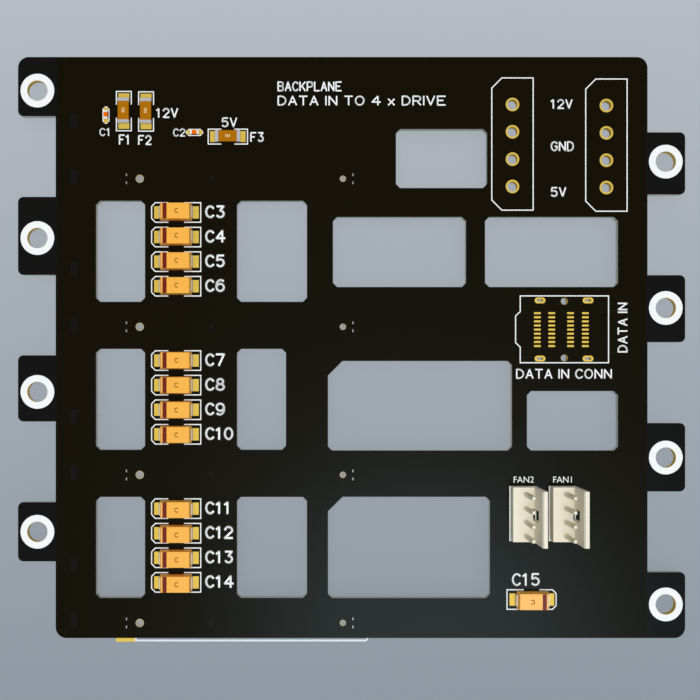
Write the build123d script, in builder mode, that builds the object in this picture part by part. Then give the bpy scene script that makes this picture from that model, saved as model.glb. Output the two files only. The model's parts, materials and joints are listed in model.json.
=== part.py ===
from build123d import *
import os

# Drive backplane board: a printed circuit board with fixing tabs, air windows, power parts
# and four drive sockets. Sizes are in millimetres. X runs along the sockets, Y across their
# rows, and the component side faces +Z. The origin is under the middle of the board's body,
# on the surface that the sockets' guide posts rest on.

os.makedirs("parts", exist_ok=True)

# Board outline
board_width = 110.0
board_length = 108.0
board_thickness = 1.6
board_corner_radius = 2.0
tab_reach = 7.0
tab_corner_radius = 1.0
board_end = board_length / 2
# Each tab: its lower edge, its upper edge and its hole, along Y
left_tabs = (
    (43.0, board_end, 47.75),
    (13.5, 28.0, 20.35),
    (-13.75, -1.45, -8.25),
    (-39.75, -28.75, -34.25),
)
right_tabs = (
    (28.45, 40.0, 34.55),
    (1.0, 13.45, 7.35),
    (-26.75, -14.05, -20.45),
    (-board_end, -41.75, -47.75),
)
fixing_hole_radius = 1.9
fixing_hole_inset = 3.6  # from a tab's tip

# Drive sockets, in four rows down the board
socket_rows = 4
socket_pitch = 27.52
first_socket_y = 31.37
socket_centre_x = -20.5
socket_height = 8.4  # from the guide posts' tips to the board
end_contact_x = 16.51  # from the socket's middle to its first and its last contact
flange_beyond_pegs = 4.72
flange_width = 7.6
flange_thickness = 1.4
tail_side_width = 2.7  # the flange's half width where the contacts' feet come out
rail_width = 0.35  # a thin rail along the flange's other side, joined to it at both ends
rail_thickness = 0.35
rail_gap = 0.48
rail_end_width = 0.3
rail_corner_chamfer = 0.3
bar_beyond_contacts = 1.99
bar_width = 5.0
bar_height = 5.6
bar_edge_chamfer = 0.4
post_length = 2.4
post_width = 4.6
post_inset = 2.4  # from the flange's end to the post's middle
post_tip_chamfer = 0.8
pegs_beyond_contacts = 2.37
peg_radii = (0.68, 0.5)  # the left peg is the thicker one, so that a socket fits one way round
peg_sides = 8
peg_clearance = 0.07
peg_height = 1.15
blade_slot_beyond_contacts = 0.79
blade_slot_width = 1.1
blade_slot_depth = 4.6
blade_key_length = 1.3
blade_key_width = 1.2

# Socket contacts
contact_thickness = 0.25
contact_width = 0.5
second_port_width = 0.36
contact_pitch = 1.27
second_port_pitch = 0.8
power_contacts = 15
signal_contacts = 7
contact_mouth_gap = 0.6  # from the contact's end to the bar's face
contact_channel_margin = 0.25
foot_reach = 3.55

# Anchor plates at the sockets' ends
anchor_thickness = 0.3
anchor_peg_gap = 0.44  # from the plate to the thicker peg
left_anchor_width = 7.7
right_anchor_width = 5.6
anchor_leg_insets = (2.25, 2.84)  # from the flange's left end and from its right end
anchor_leg_spacing = 1.5
anchor_leg_size = (0.3, 0.55)
anchor_slot_clearance = 0.05
anchor_leg_height = 1.3

# Air windows
window_chamfer = 0.75
window_large_chamfer = 2.7
window_below_socket = 4.1  # from a socket's row to the window under it
window_above_socket = 4.65
outer_window_span = (-47.5, -38.4)
inner_window_spans = ((-21.3, -8.3), (-21.3, -12.2), (-21.3, -8.3))  # one for each gap between sockets
# Each other window: left, right, lower and upper edge
free_windows = (
    (8.25, 25.17, 29.65, 40.6),
    (-3.46, 21.26, 11.25, 24.26),
    (24.8, 49.5, 11.25, 24.26),
    (32.6, 49.5, -19.15, -8.1),
)
# Windows with one large corner, beside the lower two gaps between sockets
keyed_windows = ((-4.39, 29.8, -19.15, -2.5), (-4.39, 25.7, -46.57, -27.75))

# Power plug footprints, not fitted
power_pin_pitch = 5.08
power_pins = 4
power_footprints = ((29.9, 37.55), (47.36, 37.35))
power_hole_radius = 0.95

# Data plug footprint, not fitted
data_slot_x = (35.02, 43.94)
data_slot_y = (8.75, -2.06)
data_slot_size = (1.2, 0.5)
data_peg_x = 39.55
data_peg_y = (8.61, -1.95)
data_peg_radius = 0.65

# Lands
land_thickness = 0.05

# Moulded chip capacitors
capacitor_x = -32.55
capacitor_pitch = 4.57
capacitors_per_group = 4
first_capacitor_number = 3  # the ceramic ones are the first two
first_capacitor_below_socket = 6.27
lone_capacitor = (33.5, -46.84)
case_length = 5.8
case_width = 3.2
case_height = 2.4
case_parting_height = 1.15
case_top_length = 5.2
case_top_width = 2.9
terminal_thickness = 0.15
terminal_width = 2.2
terminal_foot = 1.3
capacitor_land = (2.4, 2.27)
capacitor_land_span = 8.3

# Chip fuses
fuse_points = ((-42.33, 43.94), (-38.2, 43.87), (-23.0, 39.2))
fuse_turns = (90, 90, 0)
fuse_length = 4.6
fuse_width = 2.1
fuse_height = 0.9
fuse_cap = 0.58
fuse_cap_lip = 0.05
fuse_land = (1.7, 2.03)
fuse_land_span = 6.6

# Small ceramic capacitors
ceramic_points = ((-45.65, 43.2), (-29.2, 39.98))
ceramic_turns = (90, 0)
ceramic_length = 1.6
ceramic_width = 0.78
ceramic_height = 0.7
ceramic_cap = 0.35
ceramic_cap_lip = 0.03
ceramic_land = (0.85, 0.85)
ceramic_land_span = 2.9

# Fan headers
fan_headers = 2
first_fan_header_x = 39.13
fan_header_spacing = 7.35
fan_header_y = -30.73
fan_pins = 4
fan_pin_pitch = 2.54
fan_pin_size = 0.64
fan_pin_top = 11.4
fan_pin_tail = 2.6
fan_pin_chamfer = 0.15
fan_pin_clearance = 0.05
fan_length = 10.0
fan_base_height = 3.2
fan_base_back = 2.28  # from the pins to the base's open side
fan_wall_face = 1.57
fan_wall_thickness = 0.87
fan_wall_height = 11.4
fan_wall_chamfer = (0.22, 0.45)
fan_window_width = 2.2
fan_window_height = 7.6
fan_window_undercut = 0.2


def numbered_places(points, turns):
    """Parts numbered from 1, each with its point on the board and its turn about Z."""
    places = [(*point, turn) for point, turn in zip(points, turns)]
    return dict(enumerate(places, start=1))


# Levels and places that follow from the sizes above
board_back = socket_height
board_face = board_back + board_thickness
land_face = board_face + land_thickness
socket_ys = [first_socket_y - socket_pitch * row for row in range(socket_rows)]
tab_tip_x = board_width / 2 + tab_reach
peg_centre = end_contact_x + pegs_beyond_contacts
flange_end = peg_centre + flange_beyond_pegs
post_centre = flange_end - post_inset
anchor_leg_xs = [side * (flange_end - inset) for side, inset in zip((-1, 1), anchor_leg_insets)]
anchor_length = flange_beyond_pegs - peg_radii[0] - anchor_peg_gap
rail_reach = rail_width + rail_gap
rail_length = 2 * flange_end - anchor_length
rail_middle = (anchor_length / 2, (rail_reach - flange_width) / 2)
fixing_holes = [
    (side * (tab_tip_x - fixing_hole_inset), hole_y)
    for side, tabs in ((-1, left_tabs), (1, right_tabs))
    for _, _, hole_y in tabs
]
power_holes = [
    (x, y + power_pin_pitch * (pin - (power_pins - 1) / 2))
    for x, y in power_footprints
    for pin in range(power_pins)
]
fuse_places = numbered_places(fuse_points, fuse_turns)
ceramic_places = numbered_places(ceramic_points, ceramic_turns)
fan_header_xs = [first_fan_header_x - fan_header_spacing * header for header in range(fan_headers)]
fan_pin_hole = fan_pin_size + 2 * fan_pin_clearance
fan_pin_ys = [fan_header_y + fan_pin_pitch * (pin - (fan_pins - 1) / 2) for pin in range(fan_pins)]

# Moulded capacitors by number: where each stands and which way its banded end points
capacitor_places = {}
for group in range(socket_rows - 1):
    for place in range(capacitors_per_group):
        number = first_capacitor_number + group * capacitors_per_group + place
        capacitor_y = socket_ys[group] - first_capacitor_below_socket - capacitor_pitch * place
        capacitor_places[number] = (capacitor_x, capacitor_y, 0)
capacitor_places[number + 1] = (*lone_capacitor, 180)


def save(piece, node):
    piece.part.label = node
    export_step(piece.part, f"parts/{node}.step")


def seat(x, y, turn, height=land_face):
    """The plane that a fitted part stands on, turned about Z."""
    return Plane((x, y, height)).rotated((0, 0, turn))


def middle(low, high):
    return (low + high) / 2


def board_windows():
    """Every air window as its left, right, lower and upper edge."""
    windows = list(free_windows)
    for gap, inner_window_span in enumerate(inner_window_spans):
        upper = socket_ys[gap] - window_below_socket
        lower = socket_ys[gap + 1] + window_above_socket
        windows += [(*outer_window_span, lower, upper), (*inner_window_span, lower, upper)]
    return windows


# Board: one panel with its tabs, windows and drilled or milled holes
with BuildPart() as board:
    with BuildSketch(Plane.XY.offset(board_back)) as outline:
        Rectangle(board_width, board_length)
        for side, tabs in ((-1, left_tabs), (1, right_tabs)):
            for low, high, _ in tabs:
                with Locations((side * (board_width + tab_reach) / 2, middle(low, high))):
                    Rectangle(tab_reach, high - low)
        inner_end = board_end - tab_corner_radius
        tip_line = board_width / 2 + tab_corner_radius
        tab_tips = outline.vertices().filter_by(lambda corner: abs(corner.X) > tip_line)
        fillet([corner for corner in tab_tips if abs(corner.Y) < inner_end], tab_corner_radius)
        rows = outline.vertices().group_by(Axis.Y)
        fillet(rows[0] + rows[-1], board_corner_radius)
    extrude(amount=board_thickness)

    with BuildSketch(Plane.XY.offset(board_back)) as windows:
        for left, right, lower, upper in board_windows():
            with Locations((middle(left, right), middle(lower, upper))):
                Rectangle(right - left, upper - lower)
        chamfer(windows.vertices(), window_chamfer)
    extrude(amount=board_thickness, mode=Mode.SUBTRACT)

    for left, right, lower, upper in keyed_windows:
        with BuildSketch(Plane.XY.offset(board_back)) as keyed:
            with Locations((middle(left, right), middle(lower, upper))):
                Rectangle(right - left, upper - lower)
            chamfer(keyed.vertices().group_by(Axis.Y)[-1].sort_by(Axis.X)[0], window_large_chamfer)
            rows = keyed.vertices().group_by(Axis.Y)
            chamfer(rows[0] + rows[-1].sort_by(Axis.X)[-1:], window_chamfer)
        extrude(amount=board_thickness, mode=Mode.SUBTRACT)

    with BuildSketch(Plane.XY.offset(board_back)):
        with Locations(*fixing_holes):
            Circle(fixing_hole_radius)
        with Locations(*power_holes):
            Circle(power_hole_radius)
        with Locations(*[(x, y) for x in fan_header_xs for y in fan_pin_ys]):
            Rectangle(fan_pin_hole, fan_pin_hole)
        with Locations(*[(data_peg_x, y) for y in data_peg_y]):
            Circle(data_peg_radius)
        for y in socket_ys:
            for side, peg_radius in zip((-1, 1), peg_radii):
                with Locations((socket_centre_x + side * peg_centre, y)):
                    Circle(peg_radius + peg_clearance)
            for leg_x in anchor_leg_xs:
                with Locations((socket_centre_x + leg_x, y)):
                    with GridLocations(0, anchor_leg_spacing, 1, 2):
                        Rectangle(*[size + 2 * anchor_slot_clearance for size in anchor_leg_size])
        with Locations(*[(x, y) for x in data_slot_x for y in data_slot_y]):
            Rectangle(*data_slot_size)
    extrude(amount=board_thickness, mode=Mode.SUBTRACT)
save(board, "board")

# Gold lands under the fitted parts, one node for each kind of part
land_kinds = {
    "capacitor_lands": (capacitor_places, capacitor_land, capacitor_land_span),
    "fuse_lands": (fuse_places, fuse_land, fuse_land_span),
    "ceramic_capacitor_lands": (ceramic_places, ceramic_land, ceramic_land_span),
}
for node, (places, land, span) in land_kinds.items():
    with BuildPart() as lands:
        for x, y, turn in places.values():
            with BuildSketch(seat(x, y, turn, board_face)):
                with GridLocations(span - land[0], 0, 2, 1):
                    Rectangle(*land)
        extrude(amount=land_thickness)
    save(lands, node)


def moulded_case(place):
    """Moulded case: straight up to its parting line, then drafted to a smaller top."""
    with BuildPart() as case:
        with BuildSketch(seat(*place).offset(terminal_thickness)):
            Rectangle(case_length, case_width)
        extrude(amount=case_parting_height)
        parting = terminal_thickness + case_parting_height
        with BuildSketch(seat(*place).offset(parting)):
            Rectangle(case_length, case_width)
        with BuildSketch(seat(*place).offset(terminal_thickness + case_height)):
            Rectangle(case_top_length, case_top_width)
        loft(ruled=True)
    return case


def folded_terminals(place):
    """Two strips folded down the case's ends and under it."""
    stand = seat(*place)
    with BuildPart() as terminals:
        with BuildSketch(Plane(stand.origin, x_dir=stand.x_dir, z_dir=-stand.y_dir)):
            for end in (-1, 1):
                with BuildLine():
                    outer = end * (case_length / 2 + terminal_thickness)
                    inner = end * case_length / 2
                    foot = end * (case_length / 2 - terminal_foot)
                    top = terminal_thickness + case_parting_height
                    Polyline(
                        (outer, 0),
                        (outer, top),
                        (inner, top),
                        (inner, terminal_thickness),
                        (foot, terminal_thickness),
                        (foot, 0),
                        close=True,
                    )
                make_face()
        extrude(amount=terminal_width / 2, both=True)
    return terminals


for number, place in capacitor_places.items():
    save(moulded_case(place), f"capacitor_{number}_case")
    save(folded_terminals(place), f"capacitor_{number}_terminals")


def chip_body(place, length, width, height, cap, lip):
    """Chip body between its end caps, a lip's depth below and inside them."""
    with BuildPart() as body:
        with BuildSketch(seat(*place).offset(lip)):
            Rectangle(length - 2 * cap, width - 2 * lip)
        extrude(amount=height - 2 * lip)
    return body


def chip_caps(place, length, width, height, cap):
    """Two plated end caps."""
    with BuildPart() as caps:
        with BuildSketch(seat(*place)):
            with GridLocations(length - cap, 0, 2, 1):
                Rectangle(cap, width)
        extrude(amount=height)
    return caps


chip_kinds = {
    "fuse": (fuse_places, (fuse_length, fuse_width, fuse_height, fuse_cap), fuse_cap_lip),
    "ceramic_capacitor": (
        ceramic_places,
        (ceramic_length, ceramic_width, ceramic_height, ceramic_cap),
        ceramic_cap_lip,
    ),
}
for kind, (places, sizes, lip) in chip_kinds.items():
    for number, place in places.items():
        save(chip_body(place, *sizes, lip), f"{kind}_{number}_body")
        save(chip_caps(place, *sizes), f"{kind}_{number}_terminals")


def fan_housing(x):
    """Header housing: a base with a tall locking wall, which has a window at its foot."""
    wall_outer = x + fan_wall_face + fan_wall_thickness
    with BuildPart() as housing:
        with BuildSketch(Plane.XZ.offset(-fan_header_y)):
            with BuildLine():
                chamfer_run, chamfer_drop = fan_wall_chamfer
                Polyline(
                    (x - fan_base_back, board_face),
                    (wall_outer, board_face),
                    (wall_outer, board_face + fan_wall_height),
                    (x + fan_wall_face + chamfer_run, board_face + fan_wall_height),
                    (x + fan_wall_face, board_face + fan_wall_height - chamfer_drop),
                    (x + fan_wall_face, board_face + fan_base_height),
                    (x - fan_base_back, board_face + fan_base_height),
                    close=True,
                )
            make_face()
        extrude(amount=fan_length / 2, both=True)
        with BuildSketch(Plane.XY.offset(board_face)):
            with Locations((middle(x + fan_wall_face - fan_window_undercut, wall_outer), fan_header_y)):
                Rectangle(fan_wall_thickness + fan_window_undercut, fan_window_width)
        extrude(amount=fan_window_height, mode=Mode.SUBTRACT)
        with BuildSketch(Plane.XY.offset(board_face)):
            with Locations(*[(x, y) for y in fan_pin_ys]):
                Rectangle(fan_pin_size, fan_pin_size)
        extrude(amount=fan_base_height, mode=Mode.SUBTRACT)
    return housing


def fan_header_pins(x):
    """Square pins from their tails behind the board to their pointed tips."""
    with BuildPart() as pins:
        with BuildSketch(Plane.XY.offset(board_back - fan_pin_tail)):
            with Locations(*[(x, y) for y in fan_pin_ys]):
                Rectangle(fan_pin_size, fan_pin_size)
        extrude(amount=fan_pin_tail + board_thickness + fan_pin_top)
        chamfer(pins.faces().group_by(Axis.Z)[-1].edges(), fan_pin_chamfer)
    return pins


for number, x in enumerate(fan_header_xs, start=1):
    save(fan_housing(x), f"fan_header_{number}_housing")
    save(fan_header_pins(x), f"fan_header_{number}_pins")

# Drive sockets. Each hangs from the back of the board, its mating face towards -Z.
bar_face = board_back - flange_thickness - bar_height
contact_wall = -blade_slot_width / 2 - contact_thickness
second_wall = blade_slot_width / 2 + contact_thickness
contact_end = bar_face + contact_mouth_gap
first_signal_x = end_contact_x - contact_pitch * (signal_contacts - 1)
last_power_x = -end_contact_x + contact_pitch * (power_contacts - 1)
power_xs = [-end_contact_x + contact_pitch * step for step in range(power_contacts)]
signal_xs = [first_signal_x + contact_pitch * step for step in range(signal_contacts)]
second_port_middle = middle(last_power_x, first_signal_x)
second_port_reach = second_port_pitch * (signal_contacts - 1) / 2
second_port_xs = [
    second_port_middle - second_port_reach + second_port_pitch * step for step in range(signal_contacts)
]
channel_end = end_contact_x + contact_width / 2 + contact_channel_margin
blade_slot_end = end_contact_x + blade_slot_beyond_contacts
second_channel_length = 2 * (second_port_reach + contact_channel_margin) + second_port_width


def socket_housing(y):
    """Moulded socket: a flange with a rail, a bar with a keyed slot, two guide posts and two pegs."""
    back = Plane((socket_centre_x, y, board_back))
    below_flange = back.offset(-flange_thickness)
    with BuildPart() as housing:
        with BuildSketch(back):
            Rectangle(2 * flange_end, flange_width)
            # The middle stretch steps back where the contacts' feet come out
            with Locations((0, middle(tail_side_width, flange_width / 2))):
                Rectangle(2 * channel_end, flange_width / 2 - tail_side_width, mode=Mode.SUBTRACT)
            # The other side steps back behind its rail, all along but for the left anchor
            with Locations(rail_middle):
                Rectangle(rail_length, rail_reach, mode=Mode.SUBTRACT)
        extrude(amount=-flange_thickness)
        with BuildSketch(back) as rail:
            with Locations(rail_middle):
                Rectangle(rail_length, rail_reach)
            outer_corners = rail.vertices().group_by(Axis.Y)[0]
            chamfer(outer_corners.sort_by(Axis.X)[-1], rail_corner_chamfer)
            with Locations((anchor_length / 2, middle(rail_width, rail_reach) - flange_width / 2)):
                Rectangle(rail_length - 2 * rail_end_width, rail_gap, mode=Mode.SUBTRACT)
        extrude(amount=-rail_thickness)
        with BuildSketch(below_flange):
            Rectangle(2 * (end_contact_x + bar_beyond_contacts), bar_width)
        extrude(amount=-bar_height)
        chamfer(housing.faces().sort_by(Axis.Z)[0].edges(), bar_edge_chamfer)
        with BuildSketch(below_flange):
            with GridLocations(2 * post_centre, 0, 2, 1):
                Rectangle(post_length, post_width)
        extrude(amount=-(board_back - flange_thickness))
        chamfer(housing.faces().group_by(Axis.Z)[0].edges(), post_tip_chamfer)

        # Blade slot, with a key at each end
        with BuildSketch(Plane((socket_centre_x, y, bar_face))):
            Rectangle(2 * blade_slot_end, blade_slot_width)
            with Locations((0, middle(blade_slot_width / 2, blade_slot_width / 2 + blade_key_width))):
                with GridLocations(2 * blade_slot_end - blade_key_length, 0, 2, 1):
                    Rectangle(blade_key_length, blade_key_width)
        extrude(amount=blade_slot_depth, mode=Mode.SUBTRACT)

        # Channels that hold the contacts against the slot's walls, and the relief over their feet
        with BuildSketch(Plane((socket_centre_x, y, bar_face))):
            with Locations((0, contact_wall + contact_thickness / 2)):
                Rectangle(2 * channel_end, contact_thickness)
            with Locations((second_port_middle, second_wall - contact_thickness / 2)):
                Rectangle(second_channel_length, contact_thickness)
        extrude(amount=bar_height + flange_thickness, mode=Mode.SUBTRACT)
        with BuildSketch(back):
            with Locations((0, middle(contact_wall, tail_side_width))):
                Rectangle(2 * channel_end, tail_side_width - contact_wall)
        extrude(amount=-contact_thickness, mode=Mode.SUBTRACT)

        # Seats for the anchor plates
        with BuildSketch(back):
            for end, width in ((-1, flange_width), (1, right_anchor_width)):
                with Locations((end * (flange_end - anchor_length / 2), 0)):
                    Rectangle(anchor_length, width)
        extrude(amount=-anchor_thickness, mode=Mode.SUBTRACT)

        for side, peg_radius in zip((-1, 1), peg_radii):
            with BuildSketch(back):
                with Locations((side * peg_centre, 0)):
                    RegularPolygon(peg_radius, peg_sides)
            extrude(amount=peg_height)
    return housing


def socket_contacts(y):
    """Power and signal contacts with feet along the board, and the second port's opposite them."""
    with BuildPart() as contacts:
        for x in power_xs + signal_xs:
            with BuildSketch(Plane((socket_centre_x + x, y, 0), x_dir=(0, 1, 0), z_dir=(1, 0, 0))):
                with BuildLine():
                    Polyline(
                        (contact_wall, contact_end),
                        (contact_wall + contact_thickness, contact_end),
                        (contact_wall + contact_thickness, board_back - contact_thickness),
                        (foot_reach, board_back - contact_thickness),
                        (foot_reach, board_back),
                        (contact_wall, board_back),
                        close=True,
                    )
                make_face()
            extrude(amount=contact_width / 2, both=True)
        with BuildSketch(Plane((socket_centre_x, y, contact_end))):
            with Locations(*[(x, second_wall - contact_thickness / 2) for x in second_port_xs]):
                Rectangle(second_port_width, contact_thickness)
        extrude(amount=board_back - contact_end)
    return contacts


def socket_anchors(y):
    """Anchor plates between flange and board, each with two legs through the board."""
    with BuildPart() as anchors:
        with BuildSketch(Plane((socket_centre_x, y, board_back))):
            for end, width in ((-1, left_anchor_width), (1, right_anchor_width)):
                with Locations((end * (flange_end - anchor_length / 2), 0)):
                    Rectangle(anchor_length, width)
        extrude(amount=-anchor_thickness)
        with BuildSketch(Plane((socket_centre_x, y, board_back))):
            for leg_x in anchor_leg_xs:
                with Locations((leg_x, 0)):
                    with GridLocations(0, anchor_leg_spacing, 1, 2):
                        Rectangle(*anchor_leg_size)
        extrude(amount=anchor_leg_height)
    return anchors


for row, y in enumerate(socket_ys, start=1):
    save(socket_housing(y), f"drive_socket_{row}_housing")
    save(socket_contacts(y), f"drive_socket_{row}_contacts")
    save(socket_anchors(y), f"drive_socket_{row}_anchors")
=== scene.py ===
import json
from math import cos, radians, sin

import bmesh
import bpy
from bpy.props import FloatProperty, FloatVectorProperty, PointerProperty
from bpy.types import Operator, Panel, PropertyGroup
from mathutils import Matrix, Vector


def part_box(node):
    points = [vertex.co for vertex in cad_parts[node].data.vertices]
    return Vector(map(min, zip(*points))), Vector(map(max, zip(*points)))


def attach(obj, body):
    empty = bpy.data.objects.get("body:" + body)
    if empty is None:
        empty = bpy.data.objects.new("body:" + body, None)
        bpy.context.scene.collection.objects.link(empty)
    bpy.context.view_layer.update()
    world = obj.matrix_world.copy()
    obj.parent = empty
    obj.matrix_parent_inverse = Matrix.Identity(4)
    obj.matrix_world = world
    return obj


bl_info = {
    "name": "Drive Backplane Board",
    "version": (1, 0, 0),
    "blender": (4, 5, 0),
    "location": "View3D > Sidebar > Drive Board",
    "description": "Dresses a drive backplane board: mask, print, plating, chip parts, headers and sockets",
    "category": "Object",
}

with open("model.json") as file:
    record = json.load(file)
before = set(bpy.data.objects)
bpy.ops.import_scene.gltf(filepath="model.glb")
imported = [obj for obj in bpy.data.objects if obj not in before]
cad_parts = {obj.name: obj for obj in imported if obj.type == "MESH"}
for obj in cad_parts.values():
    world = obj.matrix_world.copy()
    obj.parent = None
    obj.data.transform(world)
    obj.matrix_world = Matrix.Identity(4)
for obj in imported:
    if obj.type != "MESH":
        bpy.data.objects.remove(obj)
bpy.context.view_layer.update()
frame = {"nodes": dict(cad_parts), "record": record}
nodes = frame["nodes"]
mounts = {mount["name"]: mount for mount in frame["record"]["mounts"]}

MM = 0.001
board_low, board_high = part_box("board")
BOARD_BACK = board_low.z
BOARD_FACE = board_high.z
BOARD_THICKNESS = BOARD_FACE - BOARD_BACK
BODY = "root"
PEG_OFFSET = 18.88 * MM


def linear(text):
    """Turns an sRGB colour such as #F0FAFC into the linear one that shaders take."""
    parts = [int(text[start:start + 2], 16) / 255 for start in (1, 3, 5)]
    return tuple(part / 12.92 if part <= 0.04045 else ((part + 0.055) / 1.055) ** 2.4 for part in parts)


# Settings

class DriveBoardPrint(PropertyGroup):
    """Sizes of the printed ink and of the plating."""

    ink_thickness: FloatProperty(
        name="Ink Thickness", description="How far the white ink stands on the mask",
        default=0.02 * MM, unit="LENGTH", precision=5)
    outline_line: FloatProperty(
        name="Outline Line", description="Width of the printed outlines",
        default=0.2 * MM, unit="LENGTH", precision=5)
    letter_line: FloatProperty(
        name="Letter Line", description="Width of a letter's stroke, as a share of its height",
        default=0.142, subtype="FACTOR")
    ring_width: FloatProperty(
        name="Ring Width", description="Width of the white ring round a fixing hole",
        default=1.23 * MM, unit="LENGTH", precision=5)
    land_thickness: FloatProperty(
        name="Land Thickness", description="Thickness of copper and gold on the mask",
        default=0.035 * MM, unit="LENGTH", precision=5)
    plating: FloatProperty(
        name="Plating", description="Thickness of the gold on a hole's wall",
        default=0.02 * MM, unit="LENGTH", precision=5)


class DriveBoardColours(PropertyGroup):
    """Colours of the finishes, as linear values."""

    mask: FloatVectorProperty(
        name="Solder Mask", description="Black mask over copper", subtype="COLOR", default=linear("#150F02"))
    bare_mask: FloatVectorProperty(
        name="Bare Mask", description="Black mask over laminate with no copper", subtype="COLOR",
        default=linear("#141311"))
    laminate: FloatVectorProperty(
        name="Laminate", description="Cut edge of the glass laminate", subtype="COLOR",
        default=linear("#C8CDBE"))
    ink: FloatVectorProperty(
        name="Ink", description="White legend ink", subtype="COLOR", default=linear("#F8FDFF"))
    gold: FloatVectorProperty(
        name="Gold", description="Immersion gold", subtype="COLOR", default=linear("#E2C254"))
    resin: FloatVectorProperty(
        name="Capacitor Resin", description="Orange moulding resin", subtype="COLOR",
        default=linear("#FFB848"))
    band: FloatVectorProperty(
        name="Polarity Band", description="Dark red band on a capacitor", subtype="COLOR",
        default=linear("#701F12"))
    code: FloatVectorProperty(
        name="Printed Code", description="Brown mark on a capacitor", subtype="COLOR",
        default=linear("#9A5F26"))
    fuse: FloatVectorProperty(
        name="Fuse Coating", description="Amber coating on a chip fuse", subtype="COLOR",
        default=linear("#B27008"))
    ceramic: FloatVectorProperty(
        name="Ceramic", description="Orange-red fired ceramic", subtype="COLOR", default=linear("#F07008"))
    nylon: FloatVectorProperty(
        name="Header Nylon", description="Undyed nylon of the fan headers", subtype="COLOR",
        default=linear("#F4EEDB"))
    polymer: FloatVectorProperty(
        name="Socket Polymer", description="Undyed polymer of the drive sockets", subtype="COLOR",
        default=linear("#E8F2FB"))


class DriveBoardStudio(PropertyGroup):
    """The floor, the lamps and the camera."""

    floor_far: FloatVectorProperty(
        name="Floor Top", description="Floor colour at the picture's upper edge", subtype="COLOR",
        default=linear("#B6BDC5"))
    floor_near: FloatVectorProperty(
        name="Floor Bottom", description="Floor colour at the picture's lower edge", subtype="COLOR",
        default=linear("#909AA4"))
    ambient: FloatProperty(
        name="Ambient", description="Strength of the soft light from all round", default=0.42, min=0.0)
    overhead_power: FloatProperty(
        name="Overhead Power", description="Power of the lamp over the camera, which lights without a glare",
        default=3.55, min=0.0, unit="POWER")
    sheen_power: FloatProperty(
        name="Sheen Power", description="Power of the lamp whose glare lies on the board's near end",
        default=2.8, min=0.0, unit="POWER")
    camera_height: FloatProperty(
        name="Camera Height", description="Distance from the camera to the board's face", default=0.220,
        unit="LENGTH")


# Modelling helpers

def clear_selection():
    if bpy.context.mode != "OBJECT":
        bpy.ops.object.mode_set(mode="OBJECT")
    bpy.ops.object.select_all(action="DESELECT")


def pick(piece, test, kind="VERT"):
    """In edit mode, selects the vertices, edges or faces whose middle passes the test."""
    bpy.ops.mesh.select_mode(type=kind)
    bpy.ops.mesh.select_all(action="DESELECT")
    mesh = bmesh.from_edit_mesh(piece.data)
    if kind == "VERT":
        for vertex in mesh.verts:
            vertex.select = test(vertex.co)
    elif kind == "EDGE":
        for edge in mesh.edges:
            edge.select = test((edge.verts[0].co + edge.verts[1].co) / 2)
    else:
        for face in mesh.faces:
            face.select = test(face.calc_center_median())
    mesh.select_flush_mode()
    bmesh.update_edit_mesh(piece.data)


def start_plane(width, length):
    """A flat rectangle about the origin, left in edit mode with all of it selected."""
    clear_selection()
    bpy.ops.mesh.primitive_plane_add(size=1)
    piece = bpy.context.object
    bpy.ops.object.mode_set(mode="EDIT")
    bpy.ops.mesh.select_all(action="SELECT")
    bpy.ops.transform.resize(value=(width, length, 1))
    return piece


def cut_corners(piece, size, test):
    """Cuts the flat piece's corners that pass the test."""
    pick(piece, test)
    bpy.ops.mesh.bevel(offset=size, offset_type="OFFSET", segments=1, affect="VERTICES")


def hollow(piece, line):
    """Leaves only a border of the line's width."""
    bpy.ops.mesh.select_mode(type="FACE")
    bpy.ops.mesh.select_all(action="SELECT")
    bpy.ops.mesh.inset(thickness=line, depth=0, use_boundary=True)
    bpy.ops.mesh.delete(type="FACE")


def slice_at(point, normal):
    """Cuts the whole edited mesh along a plane."""
    bpy.ops.mesh.select_all(action="SELECT")
    bpy.ops.mesh.bisect(plane_co=point, plane_no=normal)


def thicken(piece, thickness):
    """Gives the flat piece its thickness upwards."""
    bpy.ops.object.mode_set(mode="OBJECT")
    solidify = piece.modifiers.new("Thickness", "SOLIDIFY")
    solidify.thickness = thickness
    solidify.offset = 1
    bpy.ops.object.modifier_apply(modifier=solidify.name)


def finish_piece(piece, name, material, place=None):
    """Puts the place into the mesh and gives the piece its name, finish and body."""
    clear_selection()
    if place is not None:
        piece.data.transform(place)
    piece.name = name
    piece.data.name = name
    piece.data.materials.clear()
    piece.data.materials.append(material)
    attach(piece, BODY)


def lay_copies(master, places, material):
    """Copies a modelled piece to each place, each copy with its own mesh, and drops the master."""
    clear_selection()
    for name, place in places.items():
        piece = master.copy()
        piece.data = master.data.copy()
        bpy.context.scene.collection.objects.link(piece)
        finish_piece(piece, name, material, place)
    bpy.data.objects.remove(master)


def join_copies(master, places):
    """Copies a modelled piece to each place and joins the copies into one mesh."""
    clear_selection()
    pieces = []
    for place in places:
        piece = master.copy()
        piece.data = master.data.copy()
        piece.data.transform(place)
        bpy.context.scene.collection.objects.link(piece)
        piece.select_set(True)
        pieces.append(piece)
    bpy.context.view_layer.objects.active = pieces[0]
    bpy.ops.object.join()
    bpy.data.objects.remove(master)
    return pieces[0]


def at(x, y, z=BOARD_FACE, turn=0.0):
    """A place on the board, turned about Z by degrees."""
    return Matrix.Translation((x, y, z)) @ Matrix.Rotation(radians(turn), 4, "Z")


def centre(node):
    low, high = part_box(node)
    return (low + high) / 2


def numbered(stem, ending):
    """The numbers of the nodes that are called stem, number, ending."""
    found = [
        name[len(stem):-len(ending)] for name in nodes
        if name.startswith(stem) and name.endswith(ending)]
    return sorted(int(number) for number in found)


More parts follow.
